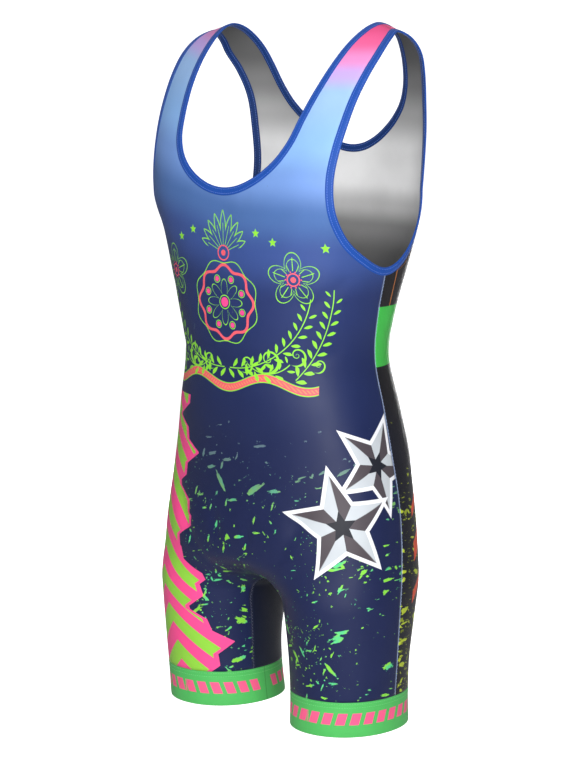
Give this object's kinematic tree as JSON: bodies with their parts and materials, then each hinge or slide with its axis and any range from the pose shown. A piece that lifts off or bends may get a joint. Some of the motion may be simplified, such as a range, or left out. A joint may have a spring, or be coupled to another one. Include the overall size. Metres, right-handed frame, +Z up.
{
  "type": "athletic singlet",
  "caption": "Sleeveless one-piece wrestling singlet with shoulder straps, short legs, bound neck and armholes and thigh cuffs, filled out as worn and hollow.",
  "frame": {"origin": "midway between the two straps at the height where the shoulders carry them", "axes": "+X the wearer's left, -Y the front, +Z up"},
  "size_m": [0.3598, 0.2448, 0.8645],
  "materials": {
    "front_cloth": "smooth stretch knit with a printed face",
    "back_cloth": "smooth stretch knit with a printed face",
    "gusset_cloth": "smooth stretch knit, plain",
    "cuff_band": "firm stretch band",
    "binding": "folded stretch binding, stitched"
  },
  "bodies": {
    "root": {"front_panel": "front_cloth", "back_panel": "back_cloth", "crotch_gusset": "gusset_cloth", "left_cuff": "cuff_band", "right_cuff": "cuff_band", "neck_binding": "binding", "left_armhole_binding": "binding", "right_armhole_binding": "binding"}
  },
  "joints": []
}
